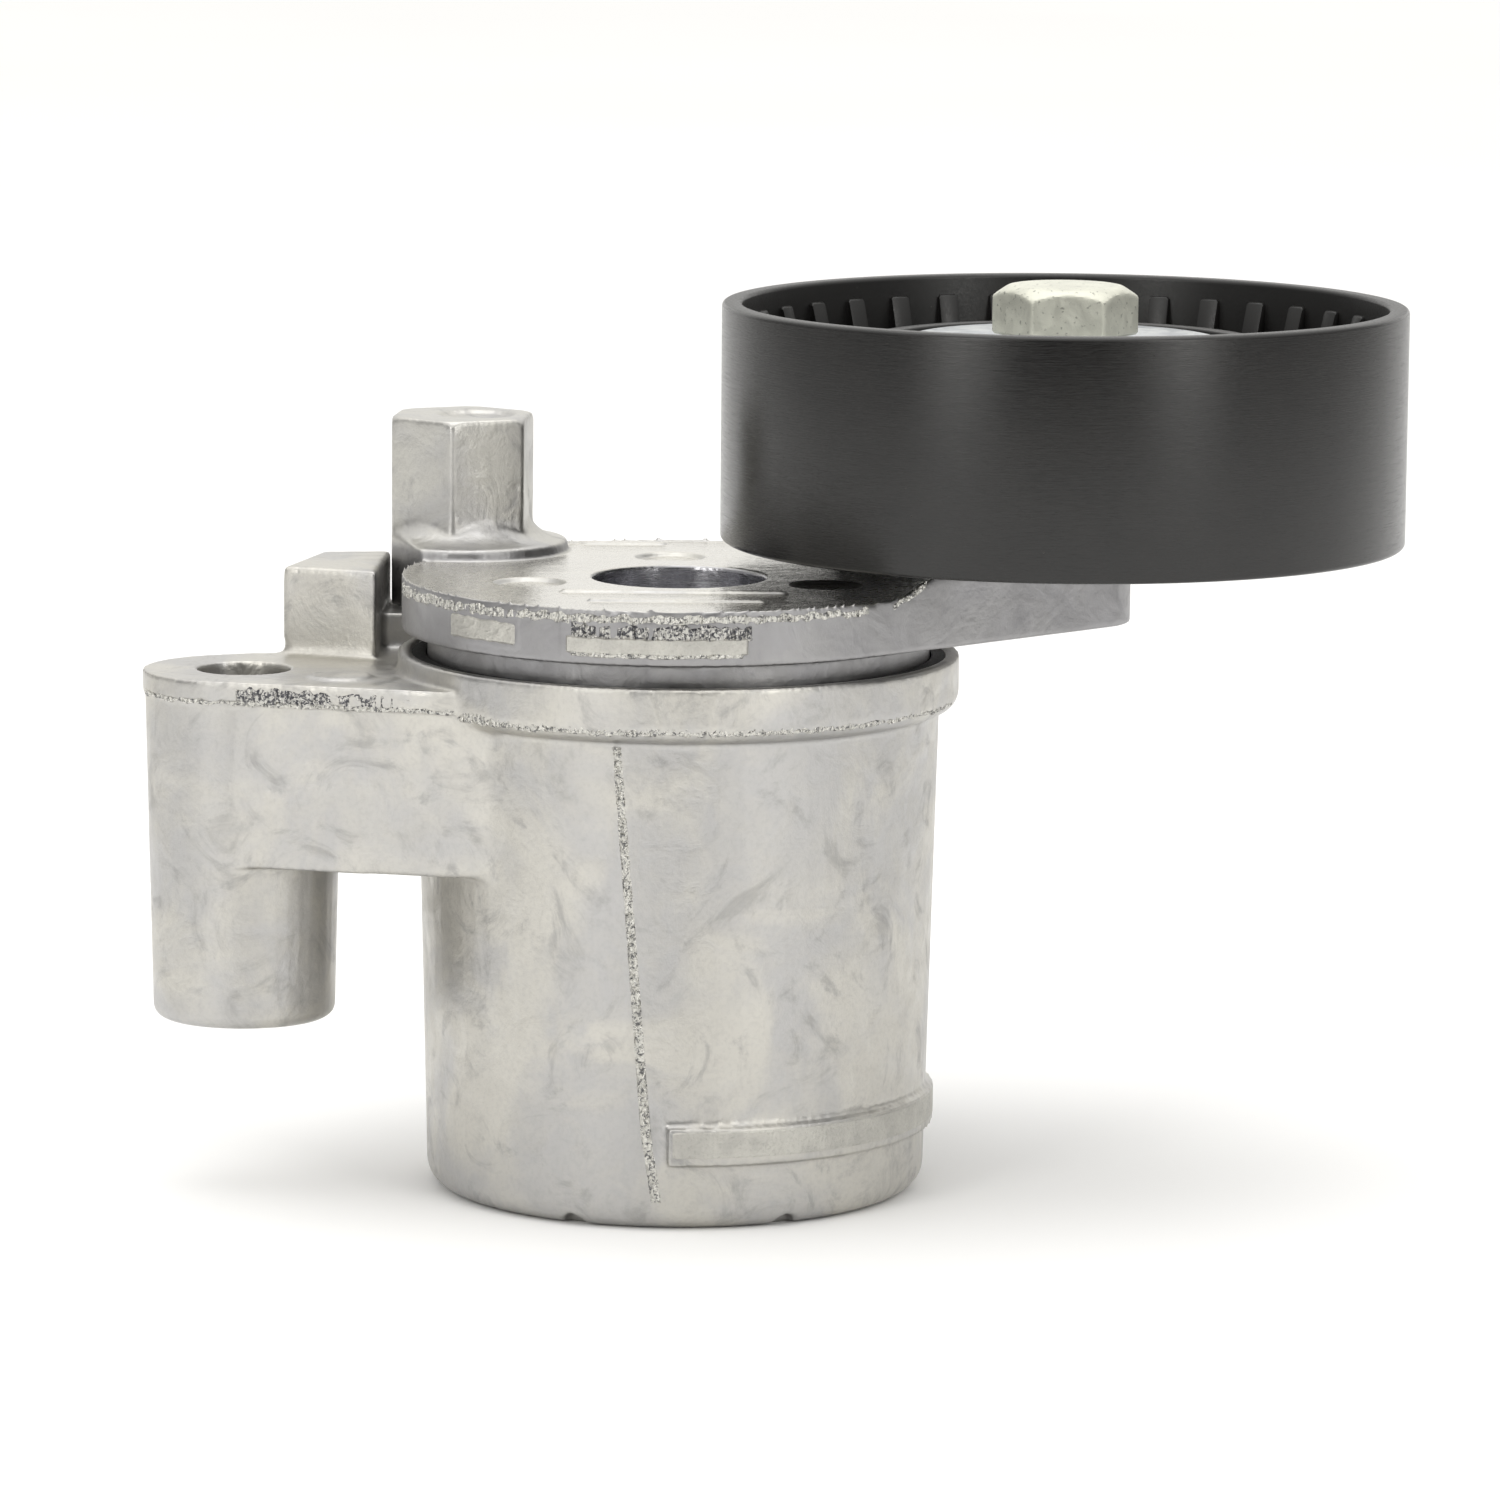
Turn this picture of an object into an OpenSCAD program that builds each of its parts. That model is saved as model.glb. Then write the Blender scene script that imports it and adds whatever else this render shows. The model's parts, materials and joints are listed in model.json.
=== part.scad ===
// Automatic belt tensioner with a smooth idler pulley.
// The arm pivots on the axis of a cast spring cup and carries the pulley on a sealed ball bearing.
// Origin: the pivot axis, at the flat bottom of the cup. +Z runs up the pivot towards the pulley.

/* [Pulley] */
// Diameter of the smooth belt surface
pulley_d = 75; // [72:1:80]
// Width of the pulley along its axis
pulley_w = 26; // [25:0.5:28]
// Wall thickness of the pulley rim
rim_t = 2.2; // [1.8:0.1:3]
// Number of stiffening ribs on each side of the pulley web
rib_count = 36; // [12:1:40]
// Thickness of one rib
rib_t = 2.2; // [1.4:0.1:2.6]

/* [Arm] */
// Distance from the pivot axis to the pulley axis
arm_reach = 42.8; // [42:0.2:46]
// Direction of the pulley axis seen from above, in degrees from +X
arm_angle = 12; // [0:1:20]
// Radius of the round arm head over the cup
head_r = 30.1; // [29.6:0.1:30.4]
// Thickness of the arm head
head_t = 5.7; // [5:0.1:7]
// Radius of the counterbore above the pivot pin
pin_well_r = 9.45; // [9.2:0.05:10]
// Distance across the flats of the wrench boss
wrench_af = 14.9; // [13:0.1:16]
// Height of the wrench boss above the arm head
wrench_h = 15.2; // [12:0.2:18]

/* [Base] */
// Height of the cup from its flat bottom to the top of its collar
cup_h = 58.8; // [58.4:0.1:59]
// Radius of the cup below the collar
cup_top_r = 28.4; // [28.2:0.1:29.2]
// Radius of the cup at its bottom, less than at the top by the casting draft
cup_bottom_r = 27.2; // [27:0.1:28.4]
// Radius of the collar at the mouth of the cup
collar_r = 30.5; // [30:0.1:31]
// Height of the collar
collar_h = 6; // [5:0.1:7]
// Radius of the two mounting boss bores
ear_bore_r = 5.1; // [4.5:0.1:5.5]

/* [Spring] */
// Wire diameter of the torsion spring
wire_d = 4.6; // [4:0.1:5]
// Mean coil radius of the torsion spring
coil_r = 18.2; // [17.8:0.1:18.6]
// Number of turns
turns = 8; // [6:1:9]

/* [Bearing] */
// Number of bearing balls
ball_count = 8; // [7:1:9]
// Diameter of a bearing ball
ball_d = 6.4; // [6:0.1:6.6]

/* [Hidden] */
$fn = 96;

// small overlap that joins solids of one piece
lap = 0.2;
// how far the straight sides of a link lie inside its round ends
link_inset = 0.01;

// levels of the base
cup_edge_r = 2.8;
cup_floor = 5;
chamber_r = 24.4;
mouth_r = 27.75;
mouth_z = cup_h - collar_h + 0.8;
seal_step_r = 29;
seal_step_h = 1.4;
collar_edge_r = 2;
band_z = 7.3;
band_h = 4;
band_proud = 1;
band_start = -91;
band_sweep = 200;
notch_r = 1.3;
notch_count = 7;
notch_start = -114;
post_r = 10.6;
post_top = 24;
pin_bore_z = 2.8;

// front mounting boss and the web that carries it
front_ear = [-47.1, -2.5];
ear_r = 10.7;
ear_bottom_r = 9.9;
ear_web_r = 10.3;
ear_seat_z = 18.5;
ear_top_z = 56.7;
ear_edge_r = 1.4;
ear_plate_h = 2.3;
ear_plate_r = 10.95;
plate_root_r = 22.55;
web_bottom_z = 36.5;
web_root = [-10, 0];
web_root_r = 22.1;
ejector_r = 3.3;
ejector_h = 0.35;
ejector_pos = [-36.3, -9];

// rear mounting boss, behind the cup
rear_ear = [6, 41];
rear_ear_top_z = 44;
rear_web_bottom_z = 24;
rear_root = [1.5, 12];
rear_root_r = 15;

// stop block on the web: the flat side of the arm lobe rests on its right face
stop_top_z = 66.5;
stop_face_front = [-33.2, 4.3];
stop_face_back = [-32.35, 22.4];
stop_left_front = [-43.5, 8];
stop_left_back = [-40, 21.5];
stop_gap = 0.15;
// wall under the stop block that ties it to the web and the cup
stop_wall_z = 40;
stop_wall = [[-44.4, 6.8], [-40.7, 22.2], [-31.7, 23.1], [-16, 22], [-18, 0], [-40, -4]];
// low ledge that ties the stop block to the collar, just under the arm lobe
ledge_top_z = 60.8;
ledge = [[-33.6, 12], [-32.95, 21.9], [-20.6, 21.9], [-27.6, 12]];

// levels and outlines of the arm
head_bottom_z = 61.1;
head_top_z = head_bottom_z + head_t;
skirt_r = 27.3;
skirt_bottom_z = 57.6;
pocket_wall_r = 25.4;
pocket_r = 23;
hub_r = 12.4;
hub_bottom_z = 25.2;
hub_bore_r = 7.6;
pin_well_floor_z = 61.3;
tip_r = 7.6;
beam_top_z = 69.2;
beam_step_r = 30.3;
tip_seat_z = 71.8;
tip_seat_r = 8.6;
lobe_pos = [-24.4, 21.5];
lobe_r = 11.8;
lobe_root = [-8, 7];
lobe_root_r = 20;
// side wall of the lobe from inside the head to its flat
lobe_wall_inner = [-26.3, 6];
lobe_flat_front = [-32.05, 17.4];
pad_h = 1.4;
pad_edge_r = 0.7;
flare_r = 4.2;
flare_out_r = 11.3;
wrench_turn = -95.5;
wrench_edge = 0.7;
wrench_mark_r = 4.15;
wrench_mark_depth = 0.5;
wrench_mark_shift = 1.6;
dimple_r = 3.75;
dimple_depth = 0.5;
dimple_ring_r = 17;
dimple_angles = [94, 199, 339];
bar_h = 0.35;
// raised bars on the arm head: centre x, centre y, length, width
bars = [[-0.4, -13.6, 23.6, 1.3], [0, -20.8, 18.4, 1.1], [-6.5, 27, 9, 1.1]];
rim_pad_proud = 0.45;
// gate pads on the rim of the arm head: start angle, sweep, height below the head top, height
rim_pads = [[217, 19, 4.3, 3.4], [247, 38, 4.6, 3.3]];

// pivot pin and its washers
pin_r = 6;
running_gap = 0.05;
pin_head_r = 8;
pin_head_h = 1.4;
pin_washer_r = 9.2;
pin_washer_h = 0.8;
pin_washer_z = pin_well_floor_z + running_gap;
pin_head_z = pin_washer_z + pin_washer_h;
pin_end_gap = 0.6;
pin_end_z = pin_bore_z + pin_end_gap;
thrust_h = hub_bottom_z - post_top - 2 * running_gap;

// spring chamber fittings
seat_in_r = 13;
seat_out_r = 22.6;
lower_seat_h = 2;
upper_seat_h = 2;
seat_lip_h = 4;
seat_lip_t = 1.6;
ring_out_r = mouth_r - 0.08;
ring_bottom_z = mouth_z + 0.15;
ring_h = 3.6;
pocket_bottom_z = ring_bottom_z + 0.15;
seal_in_r = 27.5;
seal_h = 1.1;
spring_bottom = cup_floor + lower_seat_h + 0.05;
spring_top = head_bottom_z - upper_seat_h - 0.05;
spring_steps_per_turn = 28;
wire_sides = 10;

// pulley and its bearing
pulley_pos = arm_reach * [cos(arm_angle), sin(arm_angle)];
pulley_z = 70;
pulley_top_z = pulley_z + pulley_w;
pulley_r = pulley_d / 2;
rim_in_r = pulley_r - rim_t;
rim_chamfer = 0.5;
hub_ring_r = 22;
hub_drop = 3.9;
hub_bottom_drop = 5.5;
pulley_web_t = 3.6;
rib_drop = 2.2;
rib_foot_r = 32.3;
bearing_w = 12;
bearing_r = 20;
bearing_bore_r = 8.5;
bearing_z = 77.4;
bearing_top_z = bearing_z + bearing_w;
bearing_mid_z = bearing_z + bearing_w / 2;
ball_ring_r = 14.3;
outer_land_r = 16.9;
inner_land_r = 11.7;
groove_r = ball_d / 2 + 0.3;
seal_recess = 0.4;
seal_t = 0.8;
seal_ring_in_r = inner_land_r + 0.15;
seal_seat_r = 17.9;
hub_lip_in_r = 18.6;
hub_lip_h = 1.2;
cage_in_r = 13.6;
cage_out_r = 15;
cage_h = 8.4;
cage_pocket_r = ball_d / 2 + 0.25;

// bolt, sleeve and dust covers
bolt_r = 5;
bolt_gap = 0.1;
bolt_af = 14;
bolt_head_h = 5.8;
bolt_end_z = 62.2;
bolt_chamfer_r = 6.3;
bolt_washer_h = 0.5;
bolt_washer_r = 6.8;
cover_r = 17.5;
cover_t = 1.5;
cover_top_z = pulley_top_z - 3.7;
cover_lip_h = 0.5;
cover_lip_t = 1.2;
lower_cover_t = 1.2;
lower_cover_r = 17;
sleeve_bore_r = 5.15;
sleeve_flange_r = 11;

function hex_r(af) = af / 2 / cos(30);

function polar(r, a) = [r * cos(a), r * sin(a)];

// tangent quadrilateral of two circles, the straight part of a link
function link_points(c1, r1, c2, r2) =
    let (
        d = norm(c2 - c1),
        heading = atan2(c2[1] - c1[1], c2[0] - c1[0]),
        spread = acos((r1 - r2) / d)
    )
    [
        c1 + polar(r1 - link_inset, heading + spread),
        c1 + polar(r1 - link_inset, heading - spread),
        c2 + polar(r2 - link_inset, heading - spread),
        c2 + polar(r2 - link_inset, heading + spread)
    ];

// two round ends joined by their common tangents
module link(c1, r1, c2, r2, z, h) {
    translate([c1[0], c1[1], z]) cylinder(r = r1, h = h);
    translate([c2[0], c2[1], z]) cylinder(r = r2, h = h);
    translate([0, 0, z]) linear_extrude(height = h) polygon(link_points(c1, r1, c2, r2));
}

module ring(r_out, r_in, z, h) {
    translate([0, 0, z]) difference() {
        cylinder(r = r_out, h = h);
        translate([0, 0, -1]) cylinder(r = r_in, h = h + 2);
    }
}

module ring_sector(r_out, r_in, z, h, start, sweep) {
    translate([0, 0, z]) rotate([0, 0, start])
        rotate_extrude(angle = sweep)
            translate([r_in, 0]) square([r_out - r_in, h]);
}

// upright drafted cylinder with a round lower edge
module drafted_boss(r_bottom, r_top, h, edge) {
    rotate_extrude() {
        polygon([[0, 0], [r_bottom - edge, 0], [r_bottom - edge, edge], [r_bottom, edge], [r_top, h], [0, h]]);
        intersection() {
            translate([r_bottom - edge, edge]) circle(r = edge);
            square([r_bottom, edge + lap]);
        }
    }
}

module at_pulley(z = 0) {
    translate([pulley_pos[0], pulley_pos[1], z]) children();
}

/* ---- base ---- */

module collar() {
    translate([0, 0, cup_h - collar_h]) rotate_extrude() {
        translate([0, collar_edge_r]) square([collar_r, collar_h - collar_edge_r]);
        square([collar_r - collar_edge_r, collar_h]);
        intersection() {
            translate([collar_r - collar_edge_r, collar_edge_r]) circle(r = collar_edge_r);
            square([collar_r, collar_h]);
        }
    }
}

module front_ear_body() {
    translate([front_ear[0], front_ear[1], ear_seat_z])
        drafted_boss(ear_bottom_r, ear_r, ear_top_z - ear_seat_z - ear_plate_h + lap, ear_edge_r);
    link(
        front_ear, ear_web_r, web_root, web_root_r,
        web_bottom_z, ear_top_z - ear_plate_h - web_bottom_z + lap
    );
    link(front_ear, ear_plate_r, web_root, plate_root_r, ear_top_z - ear_plate_h, ear_plate_h);
    translate([0, 0, stop_wall_z])
        linear_extrude(height = ear_top_z - stop_wall_z) polygon(stop_wall);
    translate([ejector_pos[0], ejector_pos[1], ear_top_z - lap]) cylinder(r = ejector_r, h = ejector_h + lap);
}

module rear_ear_body() {
    translate([rear_ear[0], rear_ear[1], ear_seat_z])
        drafted_boss(ear_bottom_r, ear_r, rear_ear_top_z - ear_seat_z, ear_edge_r);
    link(
        rear_ear, ear_r, rear_root, rear_root_r,
        rear_web_bottom_z, rear_ear_top_z - rear_web_bottom_z
    );
}

module stop_block() {
    translate([0, 0, ear_top_z - lap])
        linear_extrude(height = stop_top_z - ear_top_z + lap)
            polygon([stop_left_front, stop_face_front, stop_face_back, stop_left_back]);
    translate([0, 0, ear_top_z - lap]) linear_extrude(height = ledge_top_z - ear_top_z + lap) polygon(ledge);
}

module base_hollow() {
    // spring chamber, mouth and seal step
    difference() {
        translate([0, 0, cup_floor]) cylinder(r = chamber_r, h = cup_h);
        cylinder(r = post_r, h = post_top);
    }
    translate([0, 0, mouth_z]) cylinder(r = mouth_r, h = cup_h);
    translate([0, 0, cup_h - seal_step_h]) cylinder(r = seal_step_r, h = cup_h);
    // blind bore that the pivot pin is pressed into
    translate([0, 0, pin_bore_z]) cylinder(r = pin_r, h = post_top);
    // mounting bores
    for (ear = [front_ear, rear_ear])
        translate([ear[0], ear[1], ear_seat_z - 1]) cylinder(r = ear_bore_r, h = cup_h);
    // drain notches round the bottom edge
    for (i = [0:notch_count - 1])
        rotate([0, 0, notch_start + i * 360 / notch_count])
            translate([cup_bottom_r - cup_edge_r, 0, 0])
                rotate([0, 90, 0]) cylinder(r = notch_r, h = cup_edge_r + 1, $fn = 24);
}

module base_housing() {
    color([0.72, 0.72, 0.70]) difference() {
        union() {
            drafted_boss(cup_bottom_r, cup_top_r, cup_h - collar_h + lap, cup_edge_r);
            collar();
            ring_sector(
                cup_bottom_r + band_proud, chamber_r + lap, band_z, band_h,
                band_start, band_sweep
            );
            difference() {
                front_ear_body();
                cylinder(r = chamber_r + lap, h = cup_h + lap);
                translate([0, 0, cup_h - collar_h]) cylinder(r = mouth_r + lap, h = collar_h + lap);
            }
            rear_ear_body();
            stop_block();
        }
        base_hollow();
    }
}

module pivot_pin() {
    color([0.62, 0.63, 0.65]) {
        translate([0, 0, pin_end_z]) cylinder(r = pin_r, h = pin_head_z - pin_end_z + lap);
        translate([0, 0, pin_head_z]) cylinder(r1 = pin_head_r, r2 = pin_head_r - 0.6, h = pin_head_h);
    }
}

module pivot_washer() {
    color([0.70, 0.71, 0.72]) ring(pin_washer_r, pin_r, pin_washer_z, pin_washer_h);
}

module thrust_washer() {
    color([0.85, 0.82, 0.70]) ring(post_r, pin_r, post_top + running_gap, thrust_h);
}

module lower_spring_seat() {
    color([0.16, 0.16, 0.17]) {
        ring(seat_out_r, seat_in_r, cup_floor, lower_seat_h);
        ring(seat_in_r + seat_lip_t, seat_in_r, cup_floor, lower_seat_h + seat_lip_h);
    }
}

module dust_seal() {
    color([0.08, 0.08, 0.08]) ring(seal_step_r, seal_in_r, cup_h - seal_step_h, seal_h);
}

// torsion spring: one wire swept along a helix, with closed flat ends
function coil_point(i, n, rise) =
    let (a = i * 360 / spring_steps_per_turn)
    [coil_r * cos(a), coil_r * sin(a), spring_bottom + wire_d / 2 + rise * i / n];

module torsion_spring() {
    steps = turns * spring_steps_per_turn;
    rise = spring_top - spring_bottom - wire_d;
    points = [
        for (i = [0:steps]) let (c = coil_point(i, steps, rise), a = i * 360 / spring_steps_per_turn)
            for (k = [0:wire_sides - 1]) let (b = k * 360 / wire_sides)
                c + wire_d / 2 * [cos(a) * cos(b), sin(a) * cos(b), sin(b)]
    ];
    sides = [
        for (i = [0:steps - 1]) for (k = [0:wire_sides - 1])
            let (m = (k + 1) % wire_sides, p = i * wire_sides, q = (i + 1) * wire_sides)
                [p + k, q + k, q + m, p + m]
    ];
    start_cap = [for (k = [0:wire_sides - 1]) k];
    end_cap = [for (k = [wire_sides - 1:-1:0]) steps * wire_sides + k];
    color([0.35, 0.36, 0.38]) polyhedron(points = points, faces = concat(sides, [start_cap, end_cap]));
}

/* ---- arm ---- */

// everything beside the lobe that the stop block keeps the arm out of
module stop_clearance() {
    side = head_r + 2 * lobe_r;
    flat_x = stop_face_back[0] + stop_gap;
    translate([0, 0, head_bottom_z - 1]) linear_extrude(height = wrench_h + 10)
        polygon([
            lobe_wall_inner, lobe_flat_front, [flat_x, stop_face_back[1]], [flat_x, side], [-side, side],
            [-side, lobe_wall_inner[1]]
        ]);
}

// lobe beside the arm head; its flat side meets the stop block
module arm_lobe() {
    link(lobe_root, lobe_root_r, lobe_pos, lobe_r, head_bottom_z, head_t);
    translate([lobe_pos[0], lobe_pos[1], head_top_z - lap]) rotate_extrude() {
        square([lobe_r - pad_edge_r, pad_h + lap]);
        square([lobe_r, pad_h + lap - pad_edge_r]);
        intersection() {
            translate([lobe_r - pad_edge_r, pad_h + lap - pad_edge_r]) circle(r = pad_edge_r, $fn = 32);
            square([lobe_r, pad_h + lap]);
        }
    }
}

module wrench_boss() {
    flare_z = head_top_z + pad_h - lap;
    translate([lobe_pos[0], lobe_pos[1], 0]) difference() {
        union() {
            intersection() {
                translate([0, 0, head_top_z]) rotate([0, 0, wrench_turn])
                    cylinder(r = hex_r(wrench_af), h = wrench_h, $fn = 6);
                translate([0, 0, head_top_z]) union() {
                    cylinder(r = hex_r(wrench_af) + 1, h = wrench_h - wrench_edge);
                    translate([0, 0, wrench_h - wrench_edge])
                        cylinder(r1 = hex_r(wrench_af), r2 = hex_r(wrench_af) - wrench_edge, h = wrench_edge);
                }
            }
            translate([0, 0, flare_z]) rotate_extrude() difference() {
                square([flare_out_r, flare_r]);
                translate([flare_out_r, flare_r + lap]) circle(r = flare_r);
            }
        }
        translate([wrench_mark_shift, 0, head_top_z + wrench_h - wrench_mark_depth])
            cylinder(r = wrench_mark_r, h = 2);
    }
}

module arm_beam() {
    link([0, 0], head_r, pulley_pos, tip_r, head_bottom_z, head_t);
    // the raised outer part of the beam starts just outside the round head
    difference() {
        link([0, 0], head_r, pulley_pos, tip_r, head_top_z - lap, beam_top_z - head_top_z + lap);
        translate([0, 0, head_top_z - 1])
            cylinder(r1 = beam_step_r - 1, r2 = beam_step_r + 1.4, h = beam_top_z - head_top_z + 2);
    }
    at_pulley(head_bottom_z) cylinder(r = tip_seat_r - 1.2, h = tip_seat_z - head_bottom_z);
    at_pulley(beam_top_z - lap) cylinder(r = tip_seat_r - 0.4, h = tip_seat_z - beam_top_z + lap);
}

module head_marks() {
    for (bar = bars)
        translate([bar[0] - bar[2] / 2, bar[1] - bar[3] / 2, head_top_z - lap])
            cube([bar[2], bar[3], bar_h + lap]);
    for (pad = rim_pads)
        ring_sector(head_r + rim_pad_proud, head_r - 1, head_top_z - pad[2], pad[3], pad[0], pad[1]);
}

module tensioner_arm() {
    color([0.74, 0.74, 0.72]) difference() {
        union() {
            translate([0, 0, head_bottom_z]) cylinder(r = head_r, h = head_t);
            difference() {
                union() {
                    arm_lobe();
                    wrench_boss();
                }
                stop_clearance();
            }
            arm_beam();
            head_marks();
            translate([0, 0, skirt_bottom_z]) cylinder(r = skirt_r, h = head_bottom_z - skirt_bottom_z + lap);
            ring(pocket_wall_r, pocket_r, pocket_bottom_z, head_bottom_z - pocket_bottom_z);
            translate([0, 0, hub_bottom_z]) cylinder(r = hub_r, h = head_bottom_z - hub_bottom_z + lap);
        }
        // spring pocket under the head, round the hub
        ring(pocket_r, hub_r, skirt_bottom_z - 1, head_bottom_z - skirt_bottom_z + 1);
        translate([0, 0, hub_bottom_z - 1]) cylinder(r = hub_bore_r, h = head_t + 40);
        translate([0, 0, pin_well_floor_z]) cylinder(r = pin_well_r, h = head_t + 1);
        at_pulley(head_bottom_z - 1) cylinder(r = bolt_r + bolt_gap, h = tip_seat_z - head_bottom_z + 2);
        for (a = dimple_angles)
            rotate([0, 0, a]) translate([dimple_ring_r, 0, head_top_z - dimple_depth])
                cylinder(r = dimple_r, h = 2);
    }
}

module pivot_bushing() {
    color([0.55, 0.42, 0.28])
        ring(hub_bore_r, pin_r + running_gap, hub_bottom_z + 0.4, pin_well_floor_z - hub_bottom_z - 0.8);
}

module damping_ring() {
    color([0.80, 0.78, 0.70]) ring(ring_out_r, pocket_wall_r, ring_bottom_z, ring_h);
}

module upper_spring_seat() {
    color([0.16, 0.16, 0.17]) {
        ring(seat_out_r, seat_in_r, head_bottom_z - upper_seat_h, upper_seat_h);
        ring(seat_in_r + seat_lip_t, seat_in_r, head_bottom_z - upper_seat_h - seat_lip_h, upper_seat_h + seat_lip_h);
    }
}

/* ---- pulley ---- */

// one stiffening rib, a triangle from the rim down to the web, on +X
module pulley_rib(side) {
    web_half = pulley_web_t / 2 - lap;
    tip = pulley_w / 2 - rib_drop;
    translate([0, rib_t / 2, 0]) rotate([90, 0, 0]) linear_extrude(height = rib_t)
        polygon([
            [rib_foot_r, side * web_half],
            [rim_in_r + lap, side * web_half],
            [rim_in_r + lap, side * tip],
            [rim_in_r - 0.4, side * tip]
        ]);
}

module pulley() {
    mid = pulley_z + pulley_w / 2;
    color([0.13, 0.13, 0.14]) at_pulley() difference() {
        union() {
            translate([0, 0, pulley_z]) difference() {
                union() {
                    cylinder(r1 = pulley_r - rim_chamfer, r2 = pulley_r, h = rim_chamfer);
                    translate([0, 0, rim_chamfer]) cylinder(r = pulley_r, h = pulley_w - 2 * rim_chamfer);
                    translate([0, 0, pulley_w - rim_chamfer])
                        cylinder(r1 = pulley_r, r2 = pulley_r - rim_chamfer, h = rim_chamfer);
                }
                translate([0, 0, -1]) cylinder(r = rim_in_r, h = pulley_w + 2);
            }
            ring(rim_in_r + lap, hub_ring_r - lap, mid - pulley_web_t / 2, pulley_web_t);
            ring(hub_ring_r, bearing_r, pulley_z + hub_bottom_drop, pulley_w - hub_drop - hub_bottom_drop);
            ring(bearing_r + lap, hub_lip_in_r, bearing_top_z, hub_lip_h);
            ring(bearing_r + lap, hub_lip_in_r, bearing_z - hub_lip_h, hub_lip_h);
            for (i = [0:rib_count - 1], side = [-1, 1])
                translate([0, 0, mid]) rotate([0, 0, i * 360 / rib_count]) pulley_rib(side);
        }
    }
}

// profile cut of one ball groove
module ball_groove() {
    translate([0, 0, bearing_mid_z]) rotate_extrude() translate([ball_ring_r, 0]) circle(r = groove_r, $fn = 48);
}

module bearing_outer_ring() {
    color([0.60, 0.61, 0.63]) at_pulley() difference() {
        ring(bearing_r, outer_land_r, bearing_z, bearing_w);
        ball_groove();
        ring(seal_seat_r, outer_land_r - 1, bearing_top_z - seal_recess - seal_t, 3);
        ring(seal_seat_r, outer_land_r - 1, bearing_z - 3 + seal_recess + seal_t, 3);
    }
}

module bearing_inner_ring() {
    color([0.66, 0.67, 0.69]) at_pulley() difference() {
        ring(inner_land_r, bearing_bore_r, bearing_z, bearing_w);
        ball_groove();
    }
}

module bearing_balls() {
    color([0.85, 0.86, 0.88]) at_pulley(bearing_mid_z)
        for (i = [0:ball_count - 1])
            rotate([0, 0, i * 360 / ball_count]) translate([ball_ring_r, 0, 0]) sphere(d = ball_d, $fn = 48);
}

module bearing_cage() {
    color([0.70, 0.60, 0.35]) at_pulley(bearing_mid_z) difference() {
        ring(cage_out_r, cage_in_r, -cage_h / 2, cage_h);
        for (i = [0:ball_count - 1])
            rotate([0, 0, i * 360 / ball_count]) translate([cage_in_r - 2, 0, 0])
                rotate([0, 90, 0]) cylinder(r = cage_pocket_r, h = 4, $fn = 48);
    }
}

module bearing_seal(z) {
    color([0.10, 0.10, 0.10]) at_pulley() ring(seal_seat_r, seal_ring_in_r, z, seal_t);
}

module upper_bearing_seal() {
    bearing_seal(bearing_top_z - seal_recess - seal_t);
}

module lower_bearing_seal() {
    bearing_seal(bearing_z + seal_recess);
}

module bearing_sleeve() {
    color([0.58, 0.59, 0.60]) at_pulley() difference() {
        union() {
            translate([0, 0, tip_seat_z + lower_cover_t])
                cylinder(r = sleeve_flange_r, h = bearing_z - tip_seat_z - lower_cover_t);
            translate([0, 0, bearing_z - lap]) cylinder(r = bearing_bore_r, h = bearing_w + lap);
            translate([0, 0, bearing_top_z])
                cylinder(r = sleeve_flange_r, h = cover_top_z - cover_t - bearing_top_z);
        }
        translate([0, 0, tip_seat_z - 1]) cylinder(r = sleeve_bore_r, h = pulley_w + 10);
    }
}

module upper_dust_cover() {
    color([0.78, 0.80, 0.80]) at_pulley() {
        ring(cover_r, sleeve_bore_r, cover_top_z - cover_t, cover_t);
        ring(cover_r, cover_r - cover_lip_t, cover_top_z - cover_t - cover_lip_h, cover_lip_h + lap);
    }
}

module lower_dust_cover() {
    color([0.72, 0.74, 0.74]) at_pulley() ring(lower_cover_r, sleeve_bore_r, tip_seat_z, lower_cover_t);
}

module pulley_bolt() {
    color([0.74, 0.75, 0.68]) at_pulley() {
        translate([0, 0, bolt_end_z]) cylinder(r = bolt_r, h = cover_top_z - bolt_end_z + lap);
        translate([0, 0, cover_top_z]) cylinder(r = bolt_washer_r, h = bolt_washer_h);
        translate([0, 0, cover_top_z]) intersection() {
            cylinder(r = hex_r(bolt_af), h = bolt_head_h, $fn = 6);
            union() {
                cylinder(r = hex_r(bolt_af) + 1, h = bolt_head_h - 1);
                translate([0, 0, bolt_head_h - 1])
                    cylinder(r1 = hex_r(bolt_af), r2 = bolt_chamfer_r, h = 1);
            }
        }
    }
}

base_housing();
pivot_pin();
pivot_washer();
thrust_washer();
lower_spring_seat();
torsion_spring();
dust_seal();
tensioner_arm();
pivot_bushing();
damping_ring();
upper_spring_seat();
pulley();
bearing_outer_ring();
bearing_inner_ring();
bearing_balls();
bearing_cage();
upper_bearing_seal();
lower_bearing_seal();
bearing_sleeve();
upper_dust_cover();
lower_dust_cover();
pulley_bolt();
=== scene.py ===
"""Belt tensioner idler: the looks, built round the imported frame.

Castings are rebuilt from their CAD solids with soft cast edges and get trimmed-flash details of their own.
Turned, moulded and plated parts are lathed from named profiles. Lengths in this script are millimetres,
turned into metres by MM where a mesh is made.
"""

import json
import math

import bmesh
import bpy
import numpy as np
from mathutils import Matrix, Vector


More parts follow.
